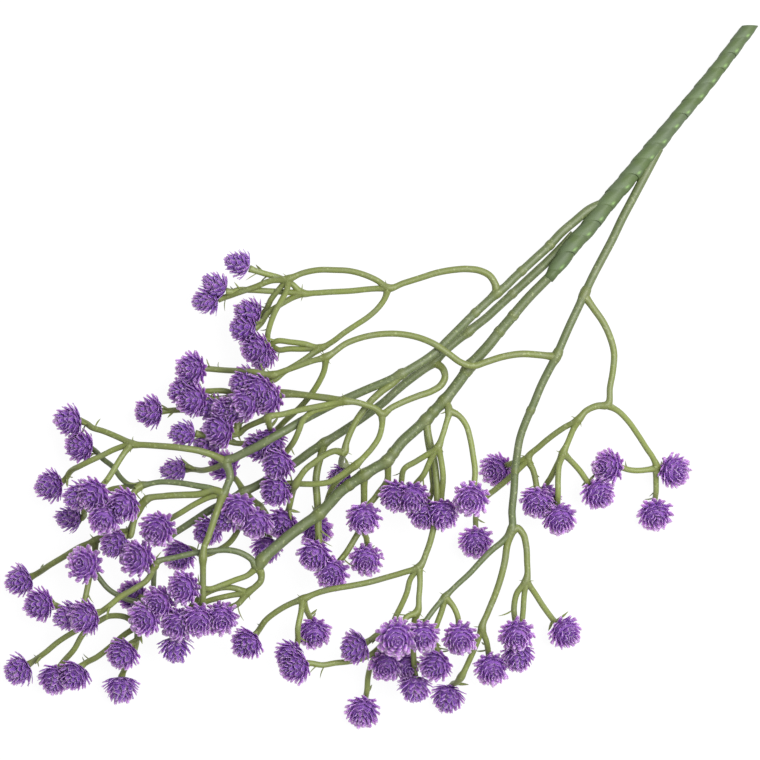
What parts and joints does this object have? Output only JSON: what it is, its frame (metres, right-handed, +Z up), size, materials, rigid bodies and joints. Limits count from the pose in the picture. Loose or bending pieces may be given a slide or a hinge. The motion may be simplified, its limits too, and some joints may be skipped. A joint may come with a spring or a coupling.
{
  "type": "artificial gypsophila spray",
  "caption": "Lying spray of artificial gypsophila: taped main stem, forked twigs and purple pompon flower heads.",
  "frame": {"origin": "centre of the bounding box's base, on the table the spray lies on", "axes": "+Y along the spray from the cut stem to the flowers, +Z up from the table"},
  "size_m": [0.2065, 0.3962, 0.0427],
  "materials": {
    "floral_tape": "waxed paper tape, satin",
    "wire": "bare cut wire",
    "moulded_stems": "satin moulded plastic",
    "petals": "matte moulded plastic"
  },
  "bodies": {
    "root": {"branch_stem_a": "moulded_stems", "branch_stem_b": "moulded_stems", "branch_stem_c": "moulded_stems", "branch_stem_d": "moulded_stems", "flower_heads_a1": "petals", "flower_heads_a2": "petals", "flower_heads_a4": "petals", "flower_heads_a8": "petals", "flower_heads_c1": "petals", "flower_heads_c5": "petals", "flower_heads_c6": "petals", "flower_heads_c7": "petals", "flower_heads_c9": "petals", "flower_heads_d1": "petals", "flower_heads_d2": "petals", "flower_heads_d5": "petals", "flower_heads_d7": "petals", "flower_heads_d8": "petals", "flower_heads_g2": "petals", "flower_heads_g5": "petals", "flower_heads_l3": "petals", "flower_heads_m1": "petals", "flower_heads_m2": "petals", "flower_heads_m3": "petals", "flower_heads_m5": "petals", "flower_heads_n0": "petals", "flower_heads_n1": "petals", "flower_heads_p1": "petals", "flower_heads_p2": "petals", "flower_heads_q1": "petals", "flower_heads_q2": "petals", "flower_heads_q3": "petals", "flower_heads_q8": "petals", "flower_heads_r1": "petals", "flower_heads_r5": "petals", "flower_heads_s1": "petals", "flower_heads_s2": "petals", "flower_heads_s3": "petals", "flower_heads_s5": "petals", "flower_heads_s7": "petals", "flower_heads_s9": "petals", "flower_heads_t1": "petals", "flower_heads_t2": "petals", "flower_heads_t5": "petals", "flower_heads_w1": "petals", "flower_heads_w2": "petals", "flower_heads_x1": "petals", "flower_heads_x2": "petals", "flower_heads_x4": "petals", "flower_heads_x5": "petals", "flower_heads_y5": "petals", "flower_heads_z1": "petals", "flower_heads_z2": "petals", "flower_heads_z3": "petals", "flower_heads_z4": "petals", "flower_heads_z6": "petals", "flower_heads_z7": "petals", "flower_heads_z8": "petals", "stem_tape": "floral_tape", "stem_wire": "wire"}
  },
  "joints": []
}
